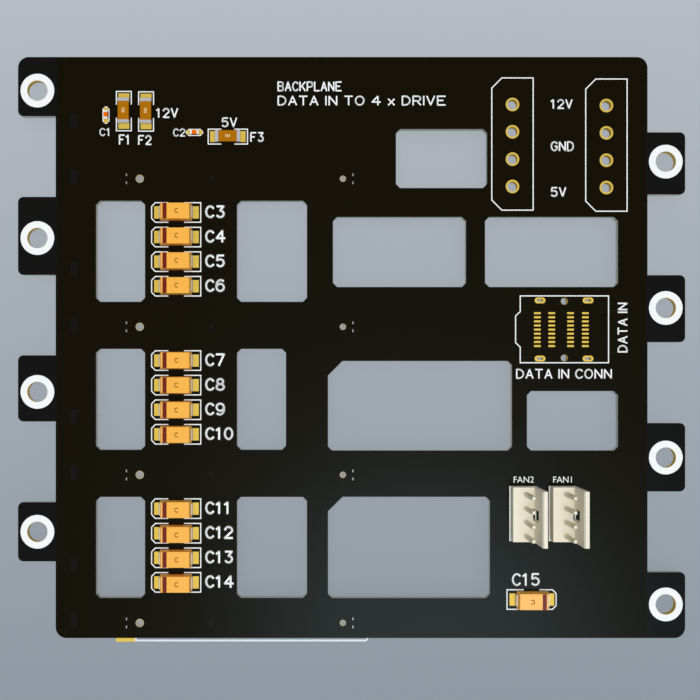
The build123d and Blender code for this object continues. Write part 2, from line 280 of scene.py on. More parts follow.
def round_holes(word):
    """The middles and the radius of the holes in the record's patterns whose name holds this word."""
    patterns = [mount for name, mount in mounts.items() if mount["kind"] == "bolt_pattern" and word in name]
    centres = []
    for pattern in patterns:
        x, y, _ = pattern["pos_m"]
        reach = pattern["dims"]["spacing_y_mm"] * MM / 2
        centres += [(x, y + reach), (x, y - reach)]
    return centres, patterns[0]["dims"]["hole_r_mm"] * MM


def plug_middle(name):
    """The middle of a plug's place on the board, from the record."""
    x, y, _ = mounts[name]["pos_m"]
    return Vector((x, y, 0))


# Materials

def add_node(owner, kind, values=None, links=None):
    """Adds a node to a material or world: values sets properties and sockets, links joins sockets."""
    tree = owner.node_tree
    node = tree.nodes.new(kind)
    for name, value in (values or {}).items():
        if isinstance(name, str) and hasattr(node, name):
            setattr(node, name, value)
        else:
            node.inputs[name].default_value = value
    for name, socket in (links or {}).items():
        tree.links.new(socket, node.inputs[name])
    return node


def new_material(name, values):
    """A material with one shader, set by its values. Gives both, and the Object coordinates."""
    material = bpy.data.materials.new(name)
    material.use_nodes = True
    shader = material.node_tree.nodes["Principled BSDF"]
    for socket, value in values.items():
        shader.inputs[socket].default_value = value
    place = add_node(material, "ShaderNodeTexCoord")
    return material, shader, place.outputs["Object"]


def rgba(colour, factor=1.0):
    return (*[min(part * factor, 1.0) for part in colour], 1.0)


def straight_view(owner):
    """One where the camera, a mirror surface or a clear one looks, and nought for light that is spread."""
    path = add_node(owner, "ShaderNodeLightPath")
    seen = path.outputs["Is Camera Ray"]
    for kind in ("Is Glossy Ray", "Is Transmission Ray"):
        either = add_node(owner, "ShaderNodeMath", {"operation": "MAXIMUM"}, {0: seen, 1: path.outputs[kind]})
        seen = either.outputs[0]
    return seen


def mottle(material, shader, place, colour, spacing, spread, grain=0.0):
    """Varies the colour a little in patches of the given spacing, with a grain that raises the surface."""
    link = material.node_tree.links.new
    patches = add_node(
        material, "ShaderNodeTexNoise", {"Scale": 1 / spacing, "Detail": 3.0}, {"Vector": place})
    mix = add_node(
        material, "ShaderNodeMix",
        {"data_type": "RGBA", 6: rgba(colour, 1 - spread), 7: rgba(colour, 1 + spread)},
        {0: patches.outputs[0]})
    link(mix.outputs[2], shader.inputs["Base Color"])
    if grain:
        bumps = add_node(
            material, "ShaderNodeTexNoise", {"Scale": 4 / spacing, "Detail": 2.0}, {"Vector": place})
        raised = add_node(
            material, "ShaderNodeBump", {"Strength": 0.25, "Distance": grain}, {"Height": bumps.outputs[0]})
        link(raised.outputs[0], shader.inputs["Normal"])
    return mix


def solder_mask_on_laminate(colours):
    """Glass-epoxy board under black mask: satin faces with a slight orange peel, pale layered edges."""
    material, shader, place = new_material(
        "Black solder mask on glass epoxy",
        {"Roughness": 0.25, "IOR": 1.5, "Specular IOR Level": 0.043, "Specular Tint": (0.56, 0.87, 1.0, 1.0)})
    link = material.node_tree.links.new
    across = add_node(material, "ShaderNodeSeparateXYZ", links={0: place})

    # The copper under the mask stops short of the side tabs, where the mask looks more neutral
    pour_edge = board_high.x - 7.3 * MM
    distance = add_node(material, "ShaderNodeMath", {"operation": "ABSOLUTE"}, {0: across.outputs[0]})
    over_copper = add_node(
        material, "ShaderNodeMath", {"operation": "LESS_THAN", 1: pour_edge}, {0: distance.outputs[0]})
    mask = add_node(
        material, "ShaderNodeMix",
        {"data_type": "RGBA", 6: rgba(colours.bare_mask), 7: rgba(colours.mask)}, {0: over_copper.outputs[0]})

    # Faces that look up or down carry mask; the routed edges show the laminate's layers, 0.2 mm apart
    layers = add_node(
        material, "ShaderNodeTexWave",
        {"wave_type": "BANDS", "bands_direction": "Z", "Scale": 1 / (0.2 * MM) / 20, "Distortion": 2.0,
         "Detail": 2.0, "Detail Scale": 4.0}, {"Vector": place})
    edge = add_node(
        material, "ShaderNodeMix",
        {"data_type": "RGBA", 6: rgba(colours.laminate, 0.86), 7: rgba(colours.laminate, 1.05)},
        {0: layers.outputs["Fac"]})
    surface = add_node(material, "ShaderNodeNewGeometry")
    facing = add_node(material, "ShaderNodeSeparateXYZ", links={0: surface.outputs["Normal"]})
    upright = add_node(material, "ShaderNodeMath", {"operation": "ABSOLUTE"}, {0: facing.outputs[2]})
    flat = add_node(
        material, "ShaderNodeMath", {"operation": "GREATER_THAN", 1: 0.5}, {0: upright.outputs[0]})
    colour = add_node(
        material, "ShaderNodeMix", {"data_type": "RGBA"},
        {0: flat.outputs[0], 6: edge.outputs[2], 7: mask.outputs[2]})
    link(colour.outputs[2], shader.inputs["Base Color"])

    # Orange peel of the cured mask, about 0.8 mm from crest to crest
    peel = add_node(
        material, "ShaderNodeTexNoise", {"Scale": 1 / (0.8 * MM), "Detail": 2.0}, {"Vector": place})
    raised = add_node(
        material, "ShaderNodeBump", {"Strength": 0.12, "Distance": 0.01 * MM}, {"Height": peel.outputs[0]})
    link(raised.outputs[0], shader.inputs["Normal"])
    return material


def legend_ink(colours):
    """Screen-printed white epoxy ink: matt, a little thin in patches about 1.5 mm wide."""
    material, shader, place = new_material("Screen-printed legend ink", {"Roughness": 0.6, "IOR": 1.5})
    mottle(material, shader, place, colours.ink, 1.5 * MM, 0.03, grain=0.004 * MM)
    return material


def immersion_gold(colours):
    """Immersion gold over nickel: soft yellow metal with a fine grain from the copper under it."""
    material, shader, place = new_material(
        "Immersion gold over nickel", {"Metallic": 0.4, "Roughness": 0.58, "Specular IOR Level": 0.2})
    mottle(material, shader, place, colours.gold, 0.6 * MM, 0.06, grain=0.004 * MM)
    return material


def tin_plate(name, text, roughness):
    """Tin plate on a stamped strip or cap: grey-white metal, with faint rolling marks."""
    material, shader, place = new_material(name, {"Metallic": 0.35, "Roughness": roughness})
    mottle(material, shader, place, linear(text), 0.5 * MM, 0.07, grain=0.003 * MM)
    return material


def moulded_plastic(name, colour, roughness, spacing, spread, sheen=0.15):
    """Moulded plastic or resin: even colour with a faint flow and the grain of its tool."""
    material, shader, place = new_material(
        name, {"Roughness": roughness, "IOR": 1.5, "Specular IOR Level": sheen})
    mottle(material, shader, place, colour, spacing, spread, grain=0.006 * MM)
    return material


def give(names, material):
    """Gives CAD nodes their finish."""
    for name in names:
        mesh = nodes[name].data
        mesh.materials.clear()
        mesh.materials.append(material)


# Lettering

def bow(x, y, across, up, start, end, steps=6):
    """Points along an ellipse's arc about x, y, from start to end in degrees."""
    turns = [radians(start + (end - start) * step / steps) for step in range(steps + 1)]
    return [(x + across * cos(turn), y + up * sin(turn)) for turn in turns]


# Plotted capitals and figures: each is its strokes on a grid 4 wide and 6 high
STROKES = {
    "A": [[(0, 0), (2, 6), (4, 0)], [(0.7, 2), (3.3, 2)]],
    "B": [[(0, 0), (0, 6), *bow(2.4, 4.6, 1.4, 1.4, 90, -90), (0, 3.2)],
          [*bow(2.4, 1.6, 1.6, 1.6, 90, -90), (0, 0)]],
    "C": [bow(2.2, 3, 2.2, 3, 40, 320, 10)],
    "D": [[*bow(1.4, 3, 2.6, 3, 90, -90, 8), (0, 0), (0, 6), (1.4, 6)]],
    "E": [[(4, 6), (0, 6), (0, 0), (4, 0)], [(0, 3.1), (2.8, 3.1)]],
    "F": [[(3.7, 6), (0, 6), (0, 0)], [(0, 3.1), (2.6, 3.1)]],
    "G": [[*bow(2.2, 3, 2.2, 3, 40, 330, 10), (4.1, 2.9), (2.6, 2.9)]],
    "I": [[(0, 0), (0, 6)]],
    "K": [[(0, 0), (0, 6)], [(4, 6), (0, 2)], [(1.4, 3.4), (4, 0)]],
    "L": [[(0, 6), (0, 0), (3.5, 0)]],
    "N": [[(0, 0), (0, 6), (4, 0), (4, 6)]],
    "O": [bow(2.2, 3, 2.2, 3, 0, 360, 14)],
    "P": [[(0, 0), (0, 6), *bow(2.4, 4.3, 1.6, 1.7, 90, -90), (0, 2.6)]],
    "R": [[(0, 0), (0, 6), *bow(2.4, 4.4, 1.6, 1.6, 90, -90), (0, 2.8)], [(2, 2.8), (4, 0)]],
    "T": [[(0, 6), (4, 6)], [(2, 6), (2, 0)]],
    "V": [[(0, 6), (2, 0), (4, 6)]],
    "x": [[(0, 0), (3, 4)], [(0, 4), (3, 0)]],
    "0": [bow(2, 3, 2, 3, 0, 360, 14)],
    "1": [[(0, 4.8), (1.4, 6), (1.4, 0)]],
    "2": [[*bow(2, 4.2, 1.9, 1.8, 170, -20), (0, 0), (4, 0)]],
    "3": [[(0.4, 6), (3.8, 6), (1.9, 3.7), *bow(2, 1.85, 1.9, 1.85, 80, -150)]],
    "4": [[(3.1, 0), (3.1, 6), (0, 2), (4.4, 2)]],
    "5": [[(3.7, 6), (0.6, 6), (0.3, 3.4), *bow(2, 2, 2, 2, 130, -145)]],
    "6": [[*bow(2.3, 3.3, 2.3, 2.7, 55, 180), *bow(2, 2, 2, 2, 180, 540, 10)]],
    "7": [[(0, 6), (4, 6), (1.3, 0)]],
    "8": [bow(2, 4.55, 1.6, 1.45, 0, 360, 10), bow(2, 1.6, 2, 1.6, 0, 360, 12)],
    "9": [[*bow(1.7, 2.7, 2.3, 2.7, 235, 360), *bow(2, 4, 2, 2, 0, 360, 10)]],
}
LETTER_GAP = 1.7
ROOM_AFTER_ONE = 1.4
WORD_GAP = 4.4
CAPITAL_HEIGHT = 6


def word_strokes(word):
    """The strokes of a word's letters side by side, and the word's reach, in grid steps."""
    pen = 0.0
    drawn = []
    for letter in word:
        if letter == " ":
            pen += WORD_GAP - LETTER_GAP
            continue
        strokes = [[(pen + x, y) for x, y in stroke] for stroke in STROKES[letter]]
        drawn += strokes
        reach = max(x for stroke in strokes for x, _ in stroke)
        pen = reach + LETTER_GAP + (ROOM_AFTER_ONE if letter == "1" else 0.0)
    return drawn, reach


def plotted_word(word, width, height, line, thickness):
    """A word in plotted strokes, fitted about the origin to its outer width and height."""
    curve = bpy.data.curves.new(word, "CURVE")
    curve.dimensions = "3D"
    curve.bevel_depth = line / 2
    curve.bevel_resolution = 1
    curve.use_fill_caps = True
    drawn, reach = word_strokes(word)
    across = (width - line) / reach
    upward = (height - line) / CAPITAL_HEIGHT
    for stroke in drawn:
        points = [Vector(((x - reach / 2) * across, (y - CAPITAL_HEIGHT / 2) * upward, 0)) for x, y in stroke]
        for start, end in zip(points, points[1:]):
            # Each segment runs on past its ends, so that the corners close
            over = (end - start).normalized() * line * 0.3
            spline = curve.splines.new("POLY")
            spline.points.add(1)
            spline.points[0].co = (*(start - over), 1)
            spline.points[1].co = (*(end + over), 1)
    piece = bpy.data.objects.new(word, curve)
    bpy.context.scene.collection.objects.link(piece)
    return as_flat_mesh(piece, 2 * thickness / line)


def typed_word(word, width, height, thickness):
    """A word in a plain thin typeface, fitted about the origin."""
    clear_selection()
    bpy.ops.object.text_add()
    piece = bpy.context.object
    piece.data.body = word
    piece.data.extrude = thickness
    piece = as_flat_mesh(piece, 1.0)
    low = [min(vertex.co[axis] for vertex in piece.data.vertices) for axis in (0, 1)]
    high = [max(vertex.co[axis] for vertex in piece.data.vertices) for axis in (0, 1)]
    size = Matrix.Diagonal((width / (high[0] - low[0]), height / (high[1] - low[1]), 1, 1))
    middle = Matrix.Translation((-(low[0] + high[0]) / 2, -(low[1] + high[1]) / 2, 0))
    piece.data.transform(size @ middle)
    return piece


def as_flat_mesh(piece, flatness):
    """Makes a curve or text a mesh, presses it flat and shades it flat, as rounded edges would dull it."""
    clear_selection()
    piece.select_set(True)
    bpy.context.view_layer.objects.active = piece
    bpy.ops.object.convert(target="MESH")
    bpy.ops.object.shade_flat()
    piece = bpy.context.object
    piece.data.transform(Matrix.Diagonal((1, 1, flatness, 1)))
    return piece


# Operators

class DRIVE_BOARD_OT_mask_board(Operator):
    """Gives the board its black mask and its pale edges, and marks the gaps in the copper under the mask"""

    bl_idname = "drive_board.mask_board"
    bl_label = "Mask the Board"

    def execute(self, context):
        colours = context.scene.board_colours
        give(["board"], solder_mask_on_laminate(colours))
        give([name for name in nodes if name.endswith("_lands")], immersion_gold(colours))
        self.mark_copper_gaps(context)
        return {"FINISHED"}

    def mark_copper_gaps(self, context):
        """Panels of mask over bare laminate: two for each socket row at the left edge and one inside."""
        material, _, _ = new_material(
            "Black solder mask over bare laminate",
            {"Base Color": rgba(context.scene.board_colours.bare_mask), "Roughness": 0.3,
             "Specular IOR Level": 0.043})
        left_edge = board_low.x + 7.0 * MM
        rows = [centre(f"drive_socket_{row}_housing").y for row in numbered("drive_socket_", "_housing")]
        for width, length, inset, rises in (
                (1.3, 2.8, 3.35, (0.45, 10.8)),
                (0.75, 1.3, 28.9, (0.0,))):
            piece = start_plane(width * MM, length * MM)
            cut_corners(piece, 0.25 * MM, lambda corner: True)
            thicken(piece, 0.004 * MM)
            places = {}
            for row, y in enumerate(rows, start=1):
                for step, rise in enumerate(rises, start=1):
                    name = f"copper_gap_{row}_{step}_{round(inset)}"
                    places[name] = at(left_edge + inset * MM, y + rise * MM)
            lay_copies(piece, places, material)


class DRIVE_BOARD_OT_plate_holes(Operator):
    """Lines the fixing holes, the power plugs' holes and the data plug's peg holes with gold, and the mouths
    of the drive sockets' peg holes with a dull plating
    """

    bl_idname = "drive_board.plate_holes"
    bl_label = "Plate the Holes"

    def execute(self, context):
        sizes = context.scene.board_print
        gold = nodes["capacitor_lands"].data.materials[0]
        middle = BOARD_BACK + BOARD_THICKNESS / 2
        centres, hole_radius = round_holes("fixing_holes")
        lining = self.tube(hole_radius, hole_radius - sizes.plating, BOARD_THICKNESS)
        places = {
            f"fixing_hole_{number}_plating": at(x, y, middle)
            for number, (x, y) in enumerate(centres, start=1)
        }
        lay_copies(lining, places, gold)

        # Power plugs: each plated hole has a round land on both faces
        centres, hole_radius = round_holes("power_plug")
        land_radius = 1.25 * MM
        eyelet = self.tube(
            land_radius, hole_radius - sizes.plating, BOARD_THICKNESS + 2 * sizes.land_thickness)
        places = {f"power_land_{number}": at(x, y, middle) for number, (x, y) in enumerate(centres, start=1)}
        lay_copies(eyelet, places, gold)
        self.line_peg_holes(sizes, gold)
        return {"FINISHED"}

    def line_peg_holes(self, sizes, gold):
        """Linings through the data plug's peg holes, and in the mouths of the drive sockets' peg holes."""
        centres, hole_radius = round_holes("data_plug_peg")
        lining = self.tube(hole_radius, hole_radius - sizes.plating, BOARD_THICKNESS)
        middle = BOARD_BACK + BOARD_THICKNESS / 2
        places = {
            f"data_plug_peg_hole_{number}": at(x, y, middle)
            for number, (x, y) in enumerate(centres, start=1)}
        lay_copies(lining, places, gold)

        dull = tin_plate("Dull plated hole wall", "#CDC28C", 0.6)
        depth = 0.38 * MM
        for side, end, hole_radius, mouth_radius in (
                (-1, "left", 0.75 * MM, 0.66 * MM), (1, "right", 0.57 * MM, 0.49 * MM)):
            lining = self.tube(hole_radius, mouth_radius, depth)
            places = {}
            for row in numbered("drive_socket_", "_housing"):
                socket = centre(f"drive_socket_{row}_housing")
                places[f"drive_socket_{row}_{end}_peg_hole"] = at(
                    socket.x + side * PEG_OFFSET, socket.y, BOARD_FACE - depth / 2)
            lay_copies(lining, places, dull)

    def tube(self, outer_radius, inner_radius, height):
        """A round tube about the origin: a disc of wall, made by an inset, and drawn up."""
        clear_selection()
        bpy.ops.mesh.primitive_circle_add(vertices=84, radius=outer_radius, fill_type="NGON")
        piece = bpy.context.object
        bpy.ops.object.mode_set(mode="EDIT")
        hollow(piece, outer_radius - inner_radius)
        thicken(piece, height)
        piece.data.transform(Matrix.Translation((0, 0, -height / 2)))
        return piece


class DRIVE_BOARD_OT_lay_data_lands(Operator):
    """Lays the data plug's gold lands: four columns of small ones and a lined slot at each corner"""

    bl_idname = "drive_board.lay_data_lands"
    bl_label = "Lay the Data Lands"

    # From the plug's middle, in millimetres
    columns = (-5.03, -2.36, 1.14, 3.89)
    rows = 9
    row_pitch = 0.764
    land = (1.24, 0.36)
    slot_x = (-4.53, 4.39)
    slot_y = (5.42, -5.39)
    slot_land = (2.0, 1.08)
    slot_opening = (1.17, 0.46)

    def execute(self, context):
        sizes = context.scene.board_print
        gold = nodes["capacitor_lands"].data.materials[0]
        middle = plug_middle("data_plug_footprint")

        land = start_plane(self.land[0] * MM, self.land[1] * MM)
        cut_corners(land, 0.05 * MM, lambda corner: True)
        thicken(land, sizes.land_thickness)
        places = [
            at(middle.x + column * MM, middle.y + self.row_pitch * MM * (row - (self.rows - 1) / 2))
            for column in self.columns for row in range(self.rows)
        ]
        finish_piece(join_copies(land, places), "data_plug_lands", gold)

        height = BOARD_THICKNESS + 2 * sizes.land_thickness
        slot = self.lined_slot(height)
        places = [at(middle.x + dx * MM, middle.y + dy * MM, BOARD_BACK - sizes.land_thickness)
                  for dx in self.slot_x for dy in self.slot_y]
        finish_piece(join_copies(slot, places), "data_plug_slot_lands", gold)
        return {"FINISHED"}

    def lined_slot(self, height):
        """A long land with round ends and the slot's opening through it."""
        width, length = [size * MM for size in self.slot_land]
        opening_width, opening_length = [size * MM for size in self.slot_opening]
        piece = start_plane(width, length)
        pick(piece, lambda corner: True)
        bpy.ops.mesh.bevel(offset=length * 0.49, offset_type="OFFSET", segments=8, affect="VERTICES")
        bpy.ops.mesh.select_mode(type="FACE")
        bpy.ops.mesh.select_all(action="SELECT")
        bpy.ops.mesh.inset(thickness=(length - opening_length) / 2, depth=0)
        inner_width = width - (length - opening_length)
        bpy.ops.transform.resize(value=(opening_width / inner_width, 1, 1))
        bpy.ops.mesh.delete(type="FACE")
        thicken(piece, height)
        return piece


class DRIVE_BOARD_OT_print_outlines(Operator):
    """Prints the white rings and the outlines round every part's place"""

    bl_idname = "drive_board.print_outlines"
    bl_label = "Print the Outlines"

    def execute(self, context):
        sizes = context.scene.board_print
        line = sizes.outline_line
        self.thickness = sizes.ink_thickness
        self.ink = legend_ink(context.scene.board_colours)

        centres, hole_radius = round_holes("fixing_holes")
        clear_selection()
        bpy.ops.mesh.primitive_circle_add(
            vertices=96, radius=hole_radius + sizes.ring_width, fill_type="NGON")
        ring = bpy.context.object
        bpy.ops.object.mode_set(mode="EDIT")
        hollow(ring, sizes.ring_width)
        places = {f"fixing_hole_{number}_ring": at(x, y) for number, (x, y) in enumerate(centres, start=1)}
        self.lay(ring, places)

        # Capacitors: two corners cut at the band's end, and a break in the long sides under the case
        outline = start_plane(9.33 * MM, 3.83 * MM)
        cut_corners(outline, 0.75 * MM, lambda corner: corner.x < 0)
        hollow(outline, line)
        self.open_sides(outline, 1.45 * MM, Vector((1, 0, 0)))
        places = {}
        for number in numbered("capacitor_", "_case"):
            middle = centre(f"capacitor_{number}_case")
            places[f"capacitor_{number}_outline"] = at(
                middle.x - 0.05 * MM, middle.y, turn=180 if number == 15 else 0)
        self.lay(outline, places)

        # Fuses: a bracket at each end
        outline = start_plane(2.96 * MM, 7.5 * MM)
        hollow(outline, line)
        self.open_sides(outline, 1.2 * MM, Vector((0, 1, 0)))
        self.lay(outline, self.chip_places("fuse_"))

        # Small ceramic capacitors: a long outline with every corner cut
        outline = start_plane(1.3 * MM, 3.22 * MM)
        cut_corners(outline, 0.5 * MM, lambda corner: True)
        hollow(outline, line * 0.8)
        self.lay(outline, self.chip_places("ceramic_capacitor_"))

        # Power plugs: two corners cut on the latch side
        outline = start_plane(7.89 * MM, 24.77 * MM)
        cut_corners(outline, 1.93 * MM, lambda corner: corner.x < 0)
        hollow(outline, line)
        places = {}
        for plug in (1, 2):
            middle = plug_middle(f"power_plug_{plug}_inner_pin_holes")
            places[f"power_plug_{plug}_outline"] = at(middle.x, middle.y + 0.27 * MM)
        self.lay(outline, places)

        self.print_data_plug_outline(line)

        # Fan headers: a plain rectangle that the housing almost covers
        outline = start_plane(5.0 * MM, 10.23 * MM)
        hollow(outline, 0.2 * MM)
        places = {}
        for number in numbered("fan_header_", "_housing"):
            low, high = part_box(f"fan_header_{number}_housing")
            places[f"fan_header_{number}_outline"] = at(high.x - 2.41 * MM, (low.y + high.y) / 2 - 0.12 * MM)
        self.lay(outline, places)
        return {"FINISHED"}

    def lay(self, outline, places):
        thicken(outline, self.thickness)
        lay_copies(outline, places, self.ink)

    def open_sides(self, outline, reach, along):
        """Takes out what lies within reach of the middle, along the given axis."""
        for side in (-1, 1):
            slice_at(along * reach * side, along)
        pick(outline, lambda middle: abs(middle.dot(along)) < reach, kind="FACE")
        bpy.ops.mesh.delete(type="FACE")

    def chip_places(self, stem):
        """Places of outlines drawn upright, turned where the chip lies along X."""
        places = {}
        for number in numbered(stem, "_body"):
            low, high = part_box(f"{stem}{number}_terminals")
            middle = (low + high) / 2
            lies = high.x - low.x > high.y - low.y
            places[f"{stem}{number}_outline"] = at(middle.x, middle.y, turn=90 if lies else 0)
        return places

    def print_data_plug_outline(self, line):
        """A rectangle whose left side steps out in the middle."""
        place = plug_middle("data_plug_footprint")
        outline = start_plane(16.62 * MM, 12.62 * MM)
        half = 16.62 * MM / 2
        step = 3.335 * MM
        for side in (-1, 1):
            slice_at(Vector((0, step * side, 0)), Vector((0, 1, 0)))
        near = 0.1 * MM
        pick(outline, lambda middle: abs(middle.x + half) < near and abs(middle.y) < near, kind="EDGE")
        bpy.ops.mesh.extrude_region_move(TRANSFORM_OT_translate={"value": (-0.86 * MM, 0, 0)})
        bpy.ops.transform.resize(value=(1, 0.76, 1))
        hollow(outline, line)
        self.lay(outline, {"data_plug_outline": at(place.x, place.y + 0.05 * MM)})


class DRIVE_BOARD_OT_letter_board(Operator):
    """Letters the board with part numbers, voltages and plug names"""

    bl_idname = "drive_board.letter_board"
    bl_label = "Letter the Board"

    # Word, name, middle X and Y, width, height and turn, in millimetres and degrees
    words = (
        ("C1", "c1", -45.98, 40.05, 1.82, 1.53, 0),
        ("F1", "f1", -42.35, 38.65, 1.84, 1.94, 0),
        ("F2", "f2", -38.42, 38.56, 2.53, 1.87, 0),
        ("12V", "fuses_12v", -34.31, 43.6, 4.12, 1.87, 0),
        ("C2", "c2", -32.04, 39.97, 2.3, 1.53, 0),
        ("5V", "fuse_5v", -22.75, 41.85, 2.96, 1.86, 0),
        ("F3", "f3", -17.58, 39.12, 2.53, 1.86, 0),
        ("C15", "c15", 32.39, -43.13, 5.21, 2.42, 0),
        ("12V", "power_12v", 39.03, 45.26, 4.09, 1.84, 0),
        ("GND", "power_gnd", 39.16, 37.42, 4.34, 1.88, 0),
        ("5V", "power_5v", 38.43, 28.91, 2.93, 1.86, 0),
        ("BACKPLANE", "title", -7.8, 48.54, 11.98, 1.88, 0),
        ("DATA IN TO 4 x DRIVE", "subtitle", 1.87, 45.9, 31.3, 1.88, 0),
        ("DATA IN", "data_side", 50.37, 3.7, 9.28, 1.88, 90),
        ("DATA IN CONN", "data_plug", 39.48, -4.89, 17.83, 1.88, 0),
    )

    def execute(self, context):
        sizes = context.scene.board_print
        ink = bpy.data.materials["Screen-printed legend ink"]
        thickness = sizes.ink_thickness
        for word, name, x, y, width, height, turn in self.words:
            piece = plotted_word(word, width * MM, height * MM, height * MM * sizes.letter_line, thickness)
            finish_piece(piece, f"lettering_{name}", ink, at(x * MM, y * MM, turn=turn))

        # The banked capacitors' numbers stand right of each of them, in a column
        left = -27.23 * MM
        height = 2.42 * MM
        boldness = 1.12
        line = height * sizes.letter_line * boldness
        grid_step = 0.345 * MM
        for number in numbered("capacitor_", "_case")[:-1]:
            word = f"C{number}"
            width = word_strokes(word)[1] * grid_step + line
            piece = plotted_word(word, width, height, line, thickness)
            place = at(left + width / 2, centre(f"capacitor_{number}_case").y + 0.13 * MM)
            finish_piece(piece, f"lettering_c{number}", ink, place)

        for number, middle, width in ((2, 32.0, 3.76), (1, 39.2, 3.46)):
            piece = typed_word(f"FAN{number}", width * MM, 1.15 * MM, thickness)
            finish_piece(piece, f"lettering_fan_{number}", ink, at(middle * MM, -24.54 * MM))
        return {"FINISHED"}


class DRIVE_BOARD_OT_dress_chips(Operator):
    """Finishes the moulded capacitors, the fuses and the ceramic capacitors, with their bands and marks"""

    bl_idname = "drive_board.dress_chips"
    bl_label = "Dress the Chips"

    def execute(self, context):
        colours = context.scene.board_colours
        resin = moulded_plastic("Moulded orange epoxy resin", colours.resin, 0.3, 1.2 * MM, 0.03, sheen=0.24)
        strip = tin_plate("Tin-plated folded strip", "#B9B9BB", 0.45)
        cap = tin_plate("Tin-plated chip cap", "#F2F2F2", 0.45)
        fuse_cap = tin_plate("Nickel-plated fuse cap", "#BDBDC2", 0.45)
        amber = moulded_plastic("Amber glass-filled coating", colours.fuse, 0.45, 0.8 * MM, 0.06, sheen=0.03)
        fired = moulded_plastic("Fired orange ceramic", colours.ceramic, 0.4, 0.4 * MM, 0.05, sheen=0.03)
        cases = [f"capacitor_{number}_case" for number in numbered("capacitor_", "_case")]
        give(cases, resin)
        give([name.replace("_case", "_terminals") for name in cases], strip)
        for stem, body_finish, cap_finish in (("fuse_", amber, fuse_cap), ("ceramic_capacitor_", fired, cap)):
            for number in numbered(stem, "_body"):
                give([f"{stem}{number}_body"], body_finish)
                give([f"{stem}{number}_terminals"], cap_finish)
        self.print_bands(colours, cases)
        self.print_fuse_marks()
        return {"FINISHED"}

    def print_bands(self, colours, cases):
        """The dark band at the positive end of each case's top, and a letter beside it."""
        band_finish = moulded_plastic("Laser-darkened band", colours.band, 0.35, 0.5 * MM, 0.08, sheen=0.12)
        code_finish = moulded_plastic("Laser-marked code", colours.code, 0.6, 0.5 * MM, 0.05)
        band = start_plane(0.76 * MM, 2.88 * MM)
        thicken(band, 0.006 * MM)
        code = plotted_word("C", 0.72 * MM, 0.95 * MM, 0.16 * MM, 0.006 * MM)
        bands = {}
        codes = {}
        for case in cases:
            low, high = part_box(case)
            turn = 180 if case == "capacitor_15_case" else 0
            top = at((low.x + high.x) / 2, (low.y + high.y) / 2, high.z, turn)
            bands[case.replace("_case", "_band")] = top @ Matrix.Translation((-1.9 * MM, 0, 0))
            codes[case.replace("_case", "_code")] = top @ Matrix.Translation((0.26 * MM, 0.0, 0))
        lay_copies(band, bands, band_finish)
        lay_copies(code, codes, code_finish)

    def print_fuse_marks(self):
        """Three short pale bars on each fuse."""
        pale = moulded_plastic("Pale fuse mark", linear("#F2D8A0"), 0.6, 0.5 * MM, 0.03)
        bar = start_plane(0.16 * MM, 0.56 * MM)
        thicken(bar, 0.006 * MM)
        mark = join_copies(bar, [Matrix.Translation((step * 0.33 * MM, 0, 0)) for step in (-1, 0, 1)])
        places = {}
        for number in numbered("fuse_", "_body"):
            low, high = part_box(f"fuse_{number}_body")
            turn = 90 if high.y - low.y > high.x - low.x else 0
            places[f"fuse_{number}_mark"] = at((low.x + high.x) / 2, (low.y + high.y) / 2, high.z, turn)
        lay_copies(mark, places, pale)


class DRIVE_BOARD_OT_dress_headers(Operator):
    """Finishes the fan headers and solders their pins behind the board"""

    bl_idname = "drive_board.dress_headers"
    bl_label = "Dress the Fan Headers"

    def execute(self, context):
        colours = context.scene.board_colours
        nylon = moulded_plastic("Moulded undyed nylon", colours.nylon, 0.48, 1.0 * MM, 0.02)
        pin = tin_plate("Tin-plated square pin", "#E9E2CB", 0.5)
        solder = tin_plate("Soldered joint", "#C4C6C8", 0.25)
        for number in numbered("fan_header_", "_housing"):
            give([f"fan_header_{number}_housing"], nylon)
            give([f"fan_header_{number}_pins"], pin)
            self.solder_pins(number, solder)
        return {"FINISHED"}

    def solder_pins(self, number, solder):
        """A cone of solder round each pin's tail, drawn in to the pin by three steps."""
        low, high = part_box(f"fan_header_{number}_pins")
        pins = 4
        pitch = 2.54 * MM
        clear_selection()
        bpy.ops.mesh.primitive_circle_add(vertices=32, radius=0.95 * MM, fill_type="NGON")
        cone = bpy.context.object
        bpy.ops.object.mode_set(mode="EDIT")
        bpy.ops.mesh.select_mode(type="FACE")
        for drop, share in ((0.12, 0.92), (0.35, 0.66), (0.45, 0.74), (0.5, 0.84)):
            bpy.ops.mesh.select_all(action="DESELECT")
            self.pick_lowest(cone)
            bpy.ops.mesh.extrude_region_move(TRANSFORM_OT_translate={"value": (0, 0, -drop * MM)})
            bpy.ops.transform.resize(value=(share, share, 1))
        bpy.ops.mesh.select_all(action="SELECT")
        bpy.ops.mesh.normals_make_consistent(inside=False)
        bpy.ops.object.mode_set(mode="OBJECT")
        bpy.ops.object.shade_smooth_by_angle(angle=radians(50))
        places = [
            at((low.x + high.x) / 2, (low.y + high.y) / 2 + pitch * (pin - (pins - 1) / 2), BOARD_BACK)
            for pin in range(pins)
        ]
        finish_piece(join_copies(cone, places), f"fan_header_{number}_solder", solder)

    def pick_lowest(self, cone):
        mesh = bmesh.from_edit_mesh(cone.data)
        lowest = min(face.calc_center_median().z for face in mesh.faces)
        pick(cone, lambda middle: middle.z < lowest + 0.001 * MM, kind="FACE")


